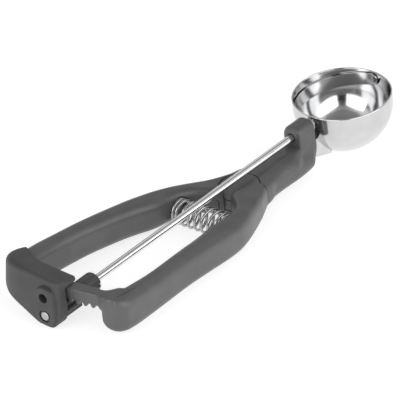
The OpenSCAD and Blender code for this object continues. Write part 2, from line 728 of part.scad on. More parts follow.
// What the housing takes away from the end of the fixed handle
module housing_cut() {
    difference() {
        translate([0, 0, -house_bottom]) linear_extrude(40)
            polygon(concat([[-house_rear, -house_right], [-house_rear, house_left + 9],
                            [-house_front + seam_keys[0][1] + lug_joint, house_left + 9]],
                           house_seam(0, lug_joint), [[-house_front, -house_right]]));
        under_housing();
    }
}

// The handle's bar reaches back into the housing, where a taller plate takes the screws
module housing_lug(grow, x0) {
    translate([-lug_x - grow, lug_y - lug[1] - grow, lug_z - grow]) {
        cube([lug_x - x0 + grow, lug[1] + 2 * grow, lug_bar + 2 * grow]);
        cube([lug[0] + 2 * grow, lug[1] + 2 * grow, lug[2] + 2 * grow]);
    }
}

screw_rows = [lug_z + 2, lug_z + 6.6];
housing_screw_x = lug_x - 2;

module housing_screws() {
    color(dull_steel) laid() housing_screw_row() screw(chan_end + 0.2, lug_y - 0.8);
}

module housing_screw_holes() {
    housing_screw_row() screw_hole(chan_end + 0.2, lug_y - 0.8);
}

// Screws that point to the left out of the rack's channel
module housing_screw_row() {
    for (z = screw_rows)
        translate([-housing_screw_x, 0, z]) rotate([-90, 0, 0]) children();
}

module pad() {
    rod(house_rear - 2, pad_x, pad_r);
    translate([0, 0, hole_rise]) rod(house_rear - 2, pad_x, pad_r);
    translate([-pad_x, -pad_r, 0]) cube([pad_x - house_rear + 2, 2 * pad_r, hole_rise]);
}

module gear_housing() {
    color(matt_grey) laid() difference() {
        union() {
            housing_block();
            pad();
        }
        intersection() {
            arm_ring(rack_tip - 0.6, chan_top, chan_in, chan_out);
            translate([-house_rear, -house_right - past_side, 0])
                cube([chan_len, house_right + past_side + chan_end, 20]);
        }
        translate([-wall_x, -house_right - past_side, -house_bottom - 1])
            cube([chan_len, house_right + past_side + bay_left, house_bottom + 1 + chan_top]);
        rod(wall_x - 1, pad_x + 1, journal_r + run_fit);
        translate([0, 0, hole_rise]) rod(pad_x - hole_depth, pad_x + 1, hole_r);
        housing_lug(seat_fit, lug_x - lug[0] - 12);
        housing_screw_holes();
    }
}

// Shaft and blade
module drive_shaft() {
    color(steel) laid() difference() {
        union() {
            rod(shaft_front, shaft_rear - 0.1, shaft_r);
            rod(journal_end + seat_fit, shaft_rear, shaft_head_r);
            rod(shaft_front, blade_end - 0.2, shaft_r + 0.8);
        }
        translate([-drive_pin_x, -5, 0]) rotate([-90, 0, 0])
            cylinder(h = 10, r = drive_pin_r + seat_fit);
    }
}

module sweep_blade() {
    color(steel) laid() rotate([-blade_dip, 0, 0]) difference() {
        union() {
            rotate_extrude(angle = 180, $fn = 96)
                translate([blade_end, -blade_w / 2]) square([blade_t, blade_w]);
            rod(blade_end, blade_r, blade_w / 2);
            rod(-blade_r, -blade_end, blade_w / 2);
        }
        rod(blade_end - 1, blade_r + 1, shaft_r + seat_fit);
        rod(-blade_r - 1, -blade_end + 1, rivet_r + run_fit);
    }
}

// Spacers between the bowl and the blade's two ends
module blade_washers() {
    color(dull_steel) laid() {
        tube(blade_r + 0.03, blade_r + 0.25, shaft_r + 0.7, shaft_r + run_fit);
        tube(-blade_r - 0.25, -blade_r - 0.03, rivet_r + 1, rivet_r + run_fit);
    }
}

module shaft_clip() {
    color(dull_steel) laid() difference() {
        tube(clip_x, clip_x + clip_t, shaft_r + 1.5, shaft_r + seat_fit);
        translate([-clip_x - clip_t - 1, -0.9, 0]) cube([clip_t + 2, 1.8, 5]);
    }
}

// Pinion
function involute(a) = tan(a) * 180 / PI - a;
function tooth_angle(r) =
    tooth_half / pitch_r * 180 / PI + involute(press_angle) - involute(acos(base_r / max(r, base_r)));

module pinion_outline() {
    steps = 6;
    radii = concat([pinion_root], [for (i = [0:steps]) base_r + (pinion_tip - base_r) * i / steps]);
    polygon([for (k = [0:pinion_teeth-1])
        let (a = 90 + 360 * k / pinion_teeth - tooth_shift / pitch_r * 180 / PI)
        each concat([for (r = radii) [r * cos(a - tooth_angle(r)), r * sin(a - tooth_angle(r))]],
                    [for (i = [len(radii)-1:-1:0]) let (r = radii[i])
                        [r * cos(a + tooth_angle(r)), r * sin(a + tooth_angle(r))]])]);
}

module pinion_gear() {
    color(black) laid() difference() {
        union() {
            translate([-gear_rear, 0, 0]) rotate([90, 0, 90]) linear_extrude(pinion_l) pinion_outline();
            rod(gear_front - eps, gear_rear, pinion_root);
            rod(hub_front, gear_front, hub_r);
            rod(gear_rear - eps, journal_end, journal_r);
        }
        rod(hub_front - 1, journal_end + 1, shaft_r + seat_fit);
        translate([-hub_front - slot_l, -hub_r - 1, -drive_pin_r - 0.05])
            cube([slot_l + 1, 2 * hub_r + 2, 2 * drive_pin_r + 0.1]);
    }
}

module drive_pin() {
    color(steel) laid() translate([-drive_pin_x, -hub_r + 0.3, 0]) rotate([-90, 0, 0])
        cylinder(h = 2 * hub_r - 0.6, r = drive_pin_r);
}

module thrust_washer() {
    color(dull_steel) laid()
        tube(gear_rear + 0.05, gear_rear + washer_t + 0.05, journal_r + 1.8, journal_r + run_fit);
}

bowl();
bowl_tang();
tang_screw();
blade_rivet();
front_bushing();
neck_housing();
neck_screws();
fixed_handle();
gear_housing();
housing_screws();
hinge_pin();
hinge_sleeve();
hinge_washers();
return_spring();
lever_handle();
rack_arm();
drive_shaft();
sweep_blade();
blade_washers();
shaft_clip();
pinion_gear();
drive_pin();
thrust_washer();
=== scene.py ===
import math
import bmesh
import bpy
from mathutils import Matrix, Vector


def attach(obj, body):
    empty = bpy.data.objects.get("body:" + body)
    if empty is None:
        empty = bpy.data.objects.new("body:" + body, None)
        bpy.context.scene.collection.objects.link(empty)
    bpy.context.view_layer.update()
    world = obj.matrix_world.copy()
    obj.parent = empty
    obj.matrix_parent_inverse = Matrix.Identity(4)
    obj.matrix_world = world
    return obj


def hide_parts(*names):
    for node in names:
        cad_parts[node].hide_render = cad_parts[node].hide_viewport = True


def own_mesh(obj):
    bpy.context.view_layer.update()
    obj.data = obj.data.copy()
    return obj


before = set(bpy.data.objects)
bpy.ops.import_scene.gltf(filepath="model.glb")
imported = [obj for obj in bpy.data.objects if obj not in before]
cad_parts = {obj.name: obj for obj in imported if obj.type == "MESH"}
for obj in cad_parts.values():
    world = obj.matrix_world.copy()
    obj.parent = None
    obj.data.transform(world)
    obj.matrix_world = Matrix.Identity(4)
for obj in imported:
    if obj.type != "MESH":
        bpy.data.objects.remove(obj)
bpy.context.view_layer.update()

# Distances are in mm in the shaft's own frame: +X along the shaft to the bowl, +Y to
# the fixed handle, +Z out of the bowl. "Behind" means along -X from the bowl's centre.
layout = {
    "bowlRadius": 23.0,
    "neckFront": 26.5,
    "neckTop": -4.2,
    "neckBottom": -17.2,
    "neckHalfWidth": 11.3,
    "hingeBehind": 75.0,
    "sideSeam": 69.3,       # where the seam leaves the neck's sides
    "seamGap": 0.35,
    "rackRadius": 124.5,
    "squeezeAngle": 6.5,    # degrees
    "houseRear": 209.6,
    "houseBottom": -6.8,
    "padRear": 212.0,
    "shaftRadius": 1.75,
    "fit": 0.02,            # between pieces that touch
    "originX": 94.28987,
    "originY": 0.75,
}
fit = layout["fit"]
hingeX = layout["hingeBehind"]
underNeck, overNeck = -20, 2  # heights that a cut right through the neck runs between
restTilt = (math.asin(layout["bowlRadius"] / math.hypot(layout["houseRear"], layout["houseBottom"]))
            - math.atan(-layout["houseBottom"] / layout["houseRear"]))
laid = (Matrix.Scale(0.001, 4)
        @ Matrix.Translation((layout["originX"], layout["originY"], layout["bowlRadius"]))
        @ Matrix.Rotation(-restTilt, 4, "Y"))
# takes a (y, z) outline and draws it along x
acrossShaft = Matrix(((0, 0, 1, 0), (1, 0, 0, 0), (0, 1, 0, 0), (0, 0, 0, 1)))
scene = bpy.context.scene
print("scoop laid at", round(math.degrees(restTilt), 2), "degrees")


def slopeAt(keys, i):
    a, b = max(i - 1, 0), min(i + 1, len(keys) - 1)
    return (keys[b][1] - keys[a][1]) / (keys[b][0] - keys[a][0])


def keyCurve(keys, u):
    # a smooth curve through [place, value] keys
    i = 0
    while i < len(keys) - 2 and u > keys[i + 1][0]:
        i += 1
    width = keys[i + 1][0] - keys[i][0]
    s = (u - keys[i][0]) / width
    return (keys[i][1] * (2 * s**3 - 3 * s**2 + 1) + slopeAt(keys, i) * width * (s**3 - 2 * s**2 + s)
            + keys[i + 1][1] * (3 * s**2 - 2 * s**3) + slopeAt(keys, i + 1) * width * (s**3 - s**2))


def ease(t):
    t = min(max(t, 0), 1)
    return t * t * (3 - 2 * t)


def drawIn(distance, radius):
    # how far a rounded edge lies inside its square corner, at a distance from the end
    if distance >= radius:
        return 0.0
    return radius - math.sqrt(max(radius * radius - (radius - distance) ** 2, 0))


def arcPoints(x, y, radius, start, end, steps):
    return [(x + radius * math.cos(math.radians(start + (end - start) * i / steps)),
             y + radius * math.sin(math.radians(start + (end - start) * i / steps)))
            for i in range(steps + 1)]


def filletSection(y0, y1, z0, z1, high, low, steps=8, flats=3, first=None):
    # high and low are the corners' (width, height), and first that of the upper one at y1
    high = high if isinstance(high, tuple) else (high, high)
    low = low if isinstance(low, tuple) else (low, low)
    first = first or high
    corners = [(y1 - first[0], z1 - first[1], first, 0), (y0 + high[0], z1 - high[1], high, 90),
               (y0 + low[0], z0 + low[1], low, 180), (y1 - low[0], z0 + low[1], low, 270)]
    loops = [[(y + r[0] * c, z + r[1] * s) for c, s in arcPoints(0, 0, 1, a, a + 90, steps)]
             for y, z, r, a in corners]
    points = []
    for k, loop in enumerate(loops):
        points += loop
        a, b = loop[-1], loops[(k + 1) % 4][0]
        points += [(a[0] + (b[0] - a[0]) * i / (flats + 1), a[1] + (b[1] - a[1]) * i / (flats + 1))
                   for i in range(1, flats + 1)]
    return points


def skinRings(rings):
    bm = bmesh.new()
    made = [[bm.verts.new(p) for p in ring] for ring in rings]
    count = len(rings[0])
    for a, b in zip(made, made[1:]):
        for i in range(count):
            j = (i + 1) % count
            bm.faces.new((a[i], a[j], b[j], b[i]))
    bm.faces.new(made[0][::-1])
    bm.faces.new(made[-1])
    bmesh.ops.remove_doubles(bm, verts=bm.verts, dist=0.0005)
    bmesh.ops.recalc_face_normals(bm, faces=bm.faces)
    return bm


def lathe(profile, segments, place):
    # turns a profile of (along, radius) about local Z; a radius of 0 closes it in a point
    bm = bmesh.new()
    rings = []
    for along, radius in profile:
        if radius < 1e-6:
            rings.append([bm.verts.new(place @ Vector((0, 0, along)))])
        else:
            rings.append([bm.verts.new(place @ Vector((radius * math.cos(math.tau * i / segments),
                                                      radius * math.sin(math.tau * i / segments), along)))
                          for i in range(segments)])
    for a, b in zip(rings, rings[1:]):
        for i in range(segments):
            j = (i + 1) % segments
            if len(a) == 1 and len(b) == 1:
                continue
            if len(a) == 1:
                bm.faces.new((a[0], b[j], b[i]))
            elif len(b) == 1:
                bm.faces.new((a[i], a[j], b[0]))
            else:
                bm.faces.new((a[i], a[j], b[j], b[i]))
    for ring, flip in ((rings[0], True), (rings[-1], False)):
        if len(ring) > 1:
            bm.faces.new(ring[::-1] if flip else ring)
    bmesh.ops.recalc_face_normals(bm, faces=bm.faces)
    return bm


def prism(outline, low, high, place=Matrix()):
    return skinRings([[place @ Vector((x, y, z)) for x, y in outline] for z in (low, high)])


def alongShaft(y=0.0, z=0.0):
    # local +Z runs to the rear, so profiles are given behind the bowl's centre
    return Matrix.Translation((0, y, z)) @ Matrix.Rotation(math.radians(-90), 4, "Y")


def rod(x0, x1, radius, y=0.0, z=0.0, segments=64):
    return lathe([(x0, radius), (x1, radius)], segments, alongShaft(y, z))


def post(behind, z0, z1, radius, segments=96):
    return lathe([(z0, radius), (z1, radius)], segments, Matrix.Translation((-behind, 0, 0)))


def crossRod(behind, z, y0, y1, radius, segments=64):
    return lathe([(y0, radius), (y1, radius)], segments,
                 Matrix.Translation((-behind, 0, z)) @ Matrix.Rotation(math.radians(-90), 4, "X"))


def blockOf(x0, x1, y0, y1, z0, z1):
    return prism([(-x1, y0), (-x0, y0), (-x0, y1), (-x1, y1)], z0, z1)


def workObject(bm):
    mesh = bpy.data.meshes.new("work")
    bm.to_mesh(mesh)
    bm.free()
    thing = bpy.data.objects.new("work", mesh)
    scene.collection.objects.link(thing)
    return thing


def cut(tool):
    return "DIFFERENCE", tool


def add(tool):
    return "UNION", tool


def carve(bm, tools):
    # cuts and adds one after the other, in the order given
    base = workObject(bm)
    cutters = []
    for mode, tool in tools:
        cutter = workObject(tool)
        cutters.append(cutter)
        step = base.modifiers.new("carve", "BOOLEAN")
        step.operation = mode
        step.solver = "EXACT"
        step.object = cutter
    depsgraph = bpy.context.evaluated_depsgraph_get()
    result = bmesh.new()
    result.from_mesh(base.evaluated_get(depsgraph).to_mesh())
    for thing in [base] + cutters:
        mesh = thing.data
        bpy.data.objects.remove(thing)
        bpy.data.meshes.remove(mesh)
    bmesh.ops.remove_doubles(result, verts=result.verts, dist=0.002)
    bmesh.ops.dissolve_degenerate(result, edges=result.edges, dist=0.001)
    return result


def joined(parts):
    whole = bmesh.new()
    for part in parts:
        mesh = bpy.data.meshes.new("join")
        part.to_mesh(mesh)
        part.free()
        whole.from_mesh(mesh)
        bpy.data.meshes.remove(mesh)
    return whole


def softenEdges(bm, width, angle=40, segments=2, where=None):
    edges = [e for e in bm.edges if len(e.link_faces) == 2
             and e.calc_face_angle(0) > math.radians(angle)
             and (where is None or where(e))]
    bmesh.ops.bevel(bm, geom=edges, offset=width, segments=segments, profile=0.5,
                    affect="EDGES", clamp_overlap=True)
    return bm


def makePiece(name, bm, body, finish, nodes=(), sharp=32):
    bm.transform(laid)
    for face in bm.faces:
        face.smooth = True
    for edge in bm.edges:
        edge.smooth = len(edge.link_faces) == 2 and edge.calc_face_angle(0) < math.radians(sharp)
    mesh = bpy.data.meshes.new(name)
    bm.to_mesh(mesh)
    bm.free()
    piece = bpy.data.objects.new(name, mesh)
    scene.collection.objects.link(piece)
    mesh.materials.append(finish)
    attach(piece, body)
    if nodes:
        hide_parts(*nodes)
    print("made", name, len(mesh.polygons), "faces")
    return piece


def nodesOf(name):
    material = bpy.data.materials.new(name)
    material.use_nodes = True
    tree = material.node_tree
    shader = tree.nodes["Principled BSDF"]
    place = tree.nodes.new("ShaderNodeTexCoord")
    scale = tree.nodes.new("ShaderNodeMapping")
    scale.inputs["Scale"].default_value = (1000, 1000, 1000)  # texture sizes below are in mm
    tree.links.new(place.outputs["Object"], scale.inputs["Vector"])
    return material, tree, shader, scale.outputs["Vector"]


def noiseOf(tree, vector, size, detail=2.0, stretch=None):
    noise = tree.nodes.new("ShaderNodeTexNoise")
    noise.inputs["Scale"].default_value = 1 / size
    noise.inputs["Detail"].default_value = detail
    if stretch:
        squeeze = tree.nodes.new("ShaderNodeMapping")
        squeeze.inputs["Scale"].default_value = stretch
        tree.links.new(vector, squeeze.inputs["Vector"])
        vector = squeeze.outputs["Vector"]
    tree.links.new(vector, noise.inputs["Vector"])
    return noise.outputs["Fac"]


def rangeOf(tree, value, low, high, fromLow=0.3, fromHigh=0.7):
    ranged = tree.nodes.new("ShaderNodeMapRange")
    ranged.inputs["From Min"].default_value = fromLow
    ranged.inputs["From Max"].default_value = fromHigh
    ranged.inputs["To Min"].default_value = low
    ranged.inputs["To Max"].default_value = high
    tree.links.new(value, ranged.inputs["Value"])
    return ranged.outputs["Result"]


def rampOf(tree, value, stops):
    ramp = tree.nodes.new("ShaderNodeValToRGB")
    ramp.color_ramp.elements[0].position, ramp.color_ramp.elements[1].position = stops[0][0], stops[-1][0]
    ramp.color_ramp.elements[0].color = (*stops[0][1], 1)
    ramp.color_ramp.elements[1].color = (*stops[-1][1], 1)
    for position, colour in stops[1:-1]:
        ramp.color_ramp.elements.new(position).color = (*colour, 1)
    tree.links.new(value, ramp.inputs["Fac"])
    return ramp.outputs["Color"]


def bumpOf(tree, shader, height, strength, depth):
    bump = tree.nodes.new("ShaderNodeBump")
    bump.inputs["Strength"].default_value = strength
    bump.inputs["Distance"].default_value = depth * 0.001
    tree.links.new(height, bump.inputs["Height"])
    tree.links.new(bump.outputs["Normal"], shader.inputs["Normal"])


plasticLook = {"mottle": 9.0, "spread": 0.05, "bump": 0.6, "ior": 1.5}
steelLook = {"cloud": 6.0, "bump": 0.3}


def mouldedPlastic(name, dark, light, roughness, grain, grainDepth):
    material, tree, shader, place = nodesOf(name)
    broad = noiseOf(tree, place, plasticLook["mottle"], 3)
    fine = noiseOf(tree, place, grain, 3)
    spread = plasticLook["spread"]
    tree.links.new(rampOf(tree, broad, [(0.35, dark), (0.65, light)]), shader.inputs["Base Color"])
    tree.links.new(rangeOf(tree, fine, roughness - spread, roughness + spread), shader.inputs["Roughness"])
    shader.inputs["IOR"].default_value = plasticLook["ior"]
    bumpOf(tree, shader, fine, plasticLook["bump"], grainDepth)
    return material


def polishedSteel(name, dark, light, roughness, spread, lineWidth, lineDepth, stretch=(1, 1, 1)):
    material, tree, shader, place = nodesOf(name)
    cloud = noiseOf(tree, place, steelLook["cloud"], 2)
    lines = noiseOf(tree, place, lineWidth, 2, stretch)
    shader.inputs["Metallic"].default_value = 1.0
    tree.links.new(rampOf(tree, cloud, [(0.3, dark), (0.7, light)]), shader.inputs["Base Color"])
    tree.links.new(rangeOf(tree, lines, roughness, roughness + spread), shader.inputs["Roughness"])
    bumpOf(tree, shader, lines, steelLook["bump"], lineDepth)
    return material


gripPlastic = mouldedPlastic("satinGripPlastic", (0.074, 0.074, 0.076), (0.088, 0.088, 0.090),
                             roughness=0.36, grain=0.35, grainDepth=0.02)
blockPlastic = mouldedPlastic("mattHousingPlastic", (0.043, 0.043, 0.045), (0.053, 0.053, 0.055),
                              roughness=0.6, grain=0.3, grainDepth=0.05)
gearPlastic = mouldedPlastic("blackGearPlastic", (0.052, 0.052, 0.053), (0.062, 0.062, 0.063),
                             roughness=0.36, grain=0.4, grainDepth=0.015)
bowlSteel = polishedSteel("mirrorBowlSteel", (0.61, 0.61, 0.615), (0.65, 0.65, 0.655),
                          roughness=0.1, spread=0.05, lineWidth=1.2, lineDepth=0.0015, stretch=(1, 1, 6))
wireSteel = polishedSteel("drawnWireSteel", (0.40, 0.40, 0.405), (0.48, 0.48, 0.485),
                          roughness=0.16, spread=0.08, lineWidth=0.5, lineDepth=0.003, stretch=(0.2, 1, 1))
shaftSteel = polishedSteel("drawnShaftSteel", (0.80, 0.80, 0.81), (0.86, 0.86, 0.87),
                           roughness=0.07, spread=0.07, lineWidth=0.6, lineDepth=0.003, stretch=(0.05, 1, 1))
plainSteel = polishedSteel("plainScrewSteel", (0.52, 0.52, 0.53), (0.62, 0.62, 0.63),
                           roughness=0.22, spread=0.14, lineWidth=0.3, lineDepth=0.01)
# near-black steel for the drive pin: painted shade standing in for the dark slot in the pinion's hub, not the
# pin's own colour
pinShadeSteel = polishedSteel("paintedShadePinSteel", (0.03, 0.03, 0.031), (0.045, 0.045, 0.046),
                         roughness=0.3, spread=0.14, lineWidth=0.3, lineDepth=0.01)
# a darker copy of the shaft's steel for the shaft's head: painted shade that dims the head's bright
# reflection
headShadeSteel = polishedSteel("paintedShadeHeadSteel", (0.45, 0.45, 0.455), (0.51, 0.51, 0.515),
                          roughness=0.24, spread=0.1, lineWidth=0.8, lineDepth=0.01)
print("materials made")

# the drive pin takes the near-black steel, painted shade for the hub's slot
plainNodes = {"tang_screw": plainSteel, "neck_screws": plainSteel, "housing_screws": plainSteel,
              "hinge_sleeve": plainSteel, "hinge_washers": plainSteel, "blade_washers": plainSteel,
              "shaft_clip": plainSteel, "thrust_washer": plainSteel, "hinge_pin": shaftSteel,
              "drive_pin": pinShadeSteel, "front_bushing": shaftSteel, "blade_rivet": bowlSteel}
for nodeName, finish in plainNodes.items():
    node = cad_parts[nodeName]
    node.data.materials.clear()
    node.data.materials.append(finish)
print("small parts finished")

bowlShape = {"wall": 0.75, "rim": 3.75, "segments": 192, "rings": 44, "lipSteps": 8}


def bowlShell(radius):
    outer, inner = radius, radius - bowlShape["wall"]
    lip, steps, lipSteps = bowlShape["wall"] / 2, bowlShape["rings"], bowlShape["lipSteps"]
    lipFoot = bowlShape["rim"] - lip

    def halfBall(r, i):
        return -r * math.cos(math.pi / 2 * i / steps), r * math.sin(math.pi / 2 * i / steps)

    profile = [halfBall(outer, i) for i in range(steps + 1)] + [(lipFoot, outer)]
    profile += [(lipFoot + lip * math.sin(math.pi * i / lipSteps),
                 outer - lip + lip * math.cos(math.pi * i / lipSteps)) for i in range(1, lipSteps)]
    profile += [(lipFoot, inner)] + [halfBall(inner, i) for i in range(steps, -1, -1)]
    return lathe(profile, bowlShape["segments"], Matrix())


makePiece("bowlShell", bowlShell(layout["bowlRadius"]), "frame", bowlSteel, ["bowl"])

tangShape = {"width": 6.0, "top": -7.4, "height": 8.0, "rear": 43.5, "edge": 0.5, "footFront": 0.5,
             "seatRise": 0.6, "seatTop": 0.93,
             "seat": [(0.5, 0.7), (0.62, 0.84)]}  # (behind, below) the centre, in bowl radii


def tangBar():
    r, front, t = layout["bowlRadius"], layout["neckFront"], tangShape
    foot = t["top"] - t["height"]
    outline = [(-t["rear"], t["top"]), (-front, t["top"]), (-r * t["seatTop"], t["top"] + t["seatRise"])]
    outline += [(-r * x, -r * z) for x, z in t["seat"]]
    outline += [(-front - t["footFront"], foot), (-t["rear"], foot)]
    bm = prism(outline, -t["width"] / 2, t["width"] / 2, Matrix.Rotation(math.radians(90), 4, "X"))
    ball = lathe([(-(r + fit) * math.cos(math.pi * i / 64), (r + fit) * math.sin(math.pi * i / 64))
                  for i in range(65)], 128, Matrix())
    return carve(softenEdges(bm, t["edge"], 20, 3), [cut(ball)])


makePiece("bowlTang", tangBar(), "frame", bowlSteel, ["bowl_tang"])

bladeShape = {"thick": 0.6, "width": 6.0, "gap": 0.35, "dip": 8.75, "edge": 0.12, "steps": 96, "endSteps": 12}


def sweepBlade():
    b = bladeShape
    half = b["width"] / 2
    outer = math.sqrt((layout["bowlRadius"] - bowlShape["wall"] - b["gap"]) ** 2 - half**2)
    middle = (outer + outer - b["thick"]) / 2

    def station(x, y, nx, ny, w):
        t, e = b["thick"] / 2, min(b["edge"], w * 0.4)
        outline = [(t, w - e), (t - e, w), (-t + e, w), (-t, w - e),
                   (-t, -w + e), (-t + e, -w), (t - e, -w), (t, -w + e)]
        return [(x + nx * d, y + ny * d, z) for d, z in outline]

    def roundEnd(side, i):
        s = half * math.sin(math.pi / 2 * i / (b["endSteps"] + 0.001))  # stops just short of a point
        return station(side * middle, -s, side, 0, math.sqrt(half * half - s * s))

    rings = [roundEnd(1, i) for i in range(b["endSteps"], 0, -1)]
    for i in range(b["steps"] + 1):
        a = math.pi * i / b["steps"]
        rings.append(station(middle * math.cos(a), middle * math.sin(a), math.cos(a), math.sin(a), half))
    rings += [roundEnd(-1, i) for i in range(1, b["endSteps"] + 1)]
    bm = skinRings(rings)
    bm.transform(Matrix.Rotation(math.radians(-b["dip"]), 4, "X"))
    return bm


makePiece("sweepBlade", sweepBlade(), "sweeper", bowlSteel, ["sweep_blade"])

neckShape = {"nose": 7.0, "steps": 30, "shoulderDrop": 5.6,
             "waistPast": 0.12, "waistFoot": -13.5, "waistTop": -6.0,
             "towerLength": 10.5, "towerRadius": 5.3, "towerRoot": 5, "towerFrontRound": 0.8,
             "towerRearRound": 2.0, "towerRightRound": 3.2, "towerRightShare": 0.35}
# the keys' places are distances behind the bowl's centre
neckWidths = [[26.5, 5.42], [28.5, 6.0], [31.0, 7.5], [34.0, 8.0], [37.0, 8.55], [41.0, 9.1], [45.5, 9.4],
              [60.3, 9.4], [65.3, 10.7], [69.3, 11.3]]
waistKeys = [[26.5, 1.0], [36.0, 1.0], [44.5, 0.0], [69.3, 0.0]]  # how far the top is drawn in to the tower
shoulderKeys = [[26.5, 1.5], [34.0, 1.5], [37.0, 2.2], [41.0, 4.4], [46.5, 6.2], [52.3, 6.4],
                [60.3, 4.9], [69.3, 3.6]]
neckLowKeys = [[26.5, 3.0], [34.0, 3.2], [46.5, 4.6], [69.3, 4.6]]


def neckBody(rear):
    front, n, steps = layout["neckFront"], neckShape, neckShape["steps"]
    xs = [front + n["nose"] * (1 - math.cos(math.radians(90 * i / 12))) for i in range(13)]
    xs += [front + n["nose"] + (rear - front - n["nose"]) * i / steps for i in range(1, steps + 1)]
    rings = []
    for x in xs:
        at = min(x, layout["sideSeam"])
        w = keyCurve(neckWidths, at)
        z0 = layout["neckBottom"] + drawIn(x - front, n["nose"])
        half = (layout["neckTop"] - z0) / 2 - 0.05
        shoulder = min(keyCurve(shoulderKeys, at), w - 0.2)
        low = min(keyCurve(neckLowKeys, at), half)
        waist = keyCurve(waistKeys, at) * (1 - (n["towerRadius"] + n["waistPast"]) / w)
        ring = filletSection(-w, w, z0, layout["neckTop"],
                             (shoulder, min(shoulder, n["shoulderDrop"], half)), low, 8, 9)
        rings.append([(-x, y * (1 - waist * ease((z - n["waistFoot"]) / (n["waistTop"] - n["waistFoot"]))), z)
                      for y, z in ring])
    return skinRings(rings)


def towerOutline(inset):
    # arched at the left, squarer at the right, where its side runs down into the neck's
    r, foot = neckShape["towerRadius"], layout["neckTop"] - neckShape["towerRoot"]
    corner, side = neckShape["towerRightRound"], inset * neckShape["towerRightShare"]
    left = arcPoints(0, 0, r - inset, 0, 90, 16)
    right = arcPoints(-r + corner, r - corner, corner - side, 90, 180, 10)
    lift = (r - inset) - (r - corner + corner - side)
    right = [(y, z + lift * (1 - i / 10)) for i, (y, z) in enumerate(right)]
    return ([(r - inset, foot - foot * i / 4) for i in range(4)] + left + right
            + [(-r + side, foot + (r - corner - foot) * i / 5) for i in range(4, -1, -1)])


def neckTower():
    n = neckShape
    edge, back = n["towerFrontRound"], n["towerRearRound"]
    stations = [(edge * (1 - math.sin(a)), edge * (1 - math.cos(a)))
                for a in [math.pi / 2 * i / 5 for i in range(6)]]
    stations += [(back * (1 - math.cos(a)), n["towerLength"] - back * (1 - math.sin(a)))
                 for a in [math.pi / 2 * i / 7 for i in range(8)]]
    return skinRings([[(-layout["neckFront"] - along, y, z) for y, z in towerOutline(inset)]
                      for inset, along in stations])


hinge = {"knuckle": 9.1, "pin": 1.9, "sleeve": 3.0, "tongue": 5.0, "washer": 0.5, "pinSkin": 1.6,
         "socketPlay": 0.15, "tongueHalfWidth": 4.5, "tongueFront": 49.0, "screws": [52.5, 59.0],
         "tangScrew": 35.5, "tangScrewTop": -10, "screwSkin": 0.6,
         "root": (11.6, 3.6, 8.5), "headDepth": 1.6, "headRadius": 3.3}
hinge["middle"] = (layout["neckTop"] + layout["neckBottom"]) / 2
hinge["tongueTop"] = hinge["middle"] + hinge["tongue"] / 2
hinge["tongueFoot"] = hinge["middle"] - hinge["tongue"] / 2
hinge["socket"] = hinge["knuckle"] + layout["seamGap"]
hinge["knuckleFoot"] = layout["neckBottom"] + 0.8
screwShape = {"inset": 0.3, "head": 2.2, "headThick": 1.3, "shank": 1.25}
bushing = {"front": 25, "rear": 33.5, "radius": 2.7, "shaftPlay": 0.35, "clearTo": 38}


def screwHole(x, depth):
    foot = layout["neckBottom"] + screwShape["inset"]
    head, shank = screwShape["head"] + fit, screwShape["shank"] + fit
    profile = [(foot - 6, head), (foot, head), (foot + screwShape["headThick"], shank), (depth, shank)]
    return lathe(profile, 32, Matrix.Translation((-x, 0, 0)))


def tongueScrewHoles():
    return [cut(screwHole(x, hinge["tongueTop"] - hinge["screwSkin"])) for x in hinge["screws"]]


def neckHousing():
    t = tangShape
    tangHalf, tongueHalf = t["width"] / 2 + fit, hinge["tongueHalfWidth"] + fit
    tools = [add(neckTower()),
             cut(post(hingeX, underNeck, overNeck, hinge["socket"] + hinge["socketPlay"])),
             cut(rod(bushing["front"], bushing["rear"] + fit, bushing["radius"] + fit)),
             cut(rod(bushing["front"], bushing["clearTo"], layout["shaftRadius"] + bushing["shaftPlay"])),
             cut(blockOf(20, t["rear"] + fit, -tangHalf, tangHalf,
                         t["top"] - t["height"] - fit, t["top"] + fit)),
             cut(blockOf(hinge["tongueFront"] - fit, hingeX, -tongueHalf, tongueHalf,
                         hinge["tongueFoot"] - fit, hinge["tongueTop"] + fit)),
             cut(screwHole(hinge["tangScrew"], hinge["tangScrewTop"]))]
    return carve(neckBody(layout["sideSeam"]), tools + tongueScrewHoles())


makePiece("neckHousing", neckHousing(), "frame", gripPlastic, ["neck_housing"])

# The handles' keys run from 0 at the hinge to 1 at the middle of the rack, and give a share of
# the way from the size at the neck to the size at the rear.
handleShape = {"height": 17.4, "top": 12.7, "thick": 10.8, "round": 4.9, "start": 3.6, "grow": 25.0,
               "leverOut": 36.7, "fixedOut": 35.2, "leverEnd": 201.5, "fixedEnd": 197.7,
               "leverEndRound": (6.5, 2.6, 1.8), "fixedEndRound": (3, 6, 6)}  # at the side, below and above
leverOutKeys = [[-0.046, 0], [-0.032, 0.035], [0, 0.118], [0.04, 0.224], [0.161, 0.5],
                [0.237, 0.634], [0.281, 0.685], [0.353, 0.74], [0.442, 0.78], [0.602, 0.846],
                [0.763, 0.913], [0.924, 0.99], [1.02, 1]]
fixedOutKeys = [[-0.046, 0], [-0.032, 0.038], [0, 0.126], [0.04, 0.238], [0.161, 0.531],
                [0.237, 0.674], [0.281, 0.728], [0.353, 0.787], [0.442, 0.828], [0.643, 0.92],
                [0.803, 0.985], [0.867, 0.985], [0.924, 0.965], [1.02, 0.88]]
innerRear = [[0.369, 0.68], [0.45, 0.764], [0.546, 0.83], [0.643, 0.892],
             [0.739, 0.938], [0.803, 0.955], [1.02, 0.965]]
leverInKeys = [[-0.046, 0.035], [0.055, 0.038], [0.072, 0.07], [0.092, 0.174], [0.13, 0.4],
               [0.182, 0.53], [0.236, 0.595], [0.3, 0.61], [0.345, 0.645]] + innerRear
fixedInKeys = [[-0.046, 0.035], [0.055, 0.038], [0.072, 0.07], [0.092, 0.17], [0.13, 0.385],
               [0.182, 0.53], [0.236, 0.595], [0.3, 0.61], [0.345, 0.645]] + innerRear
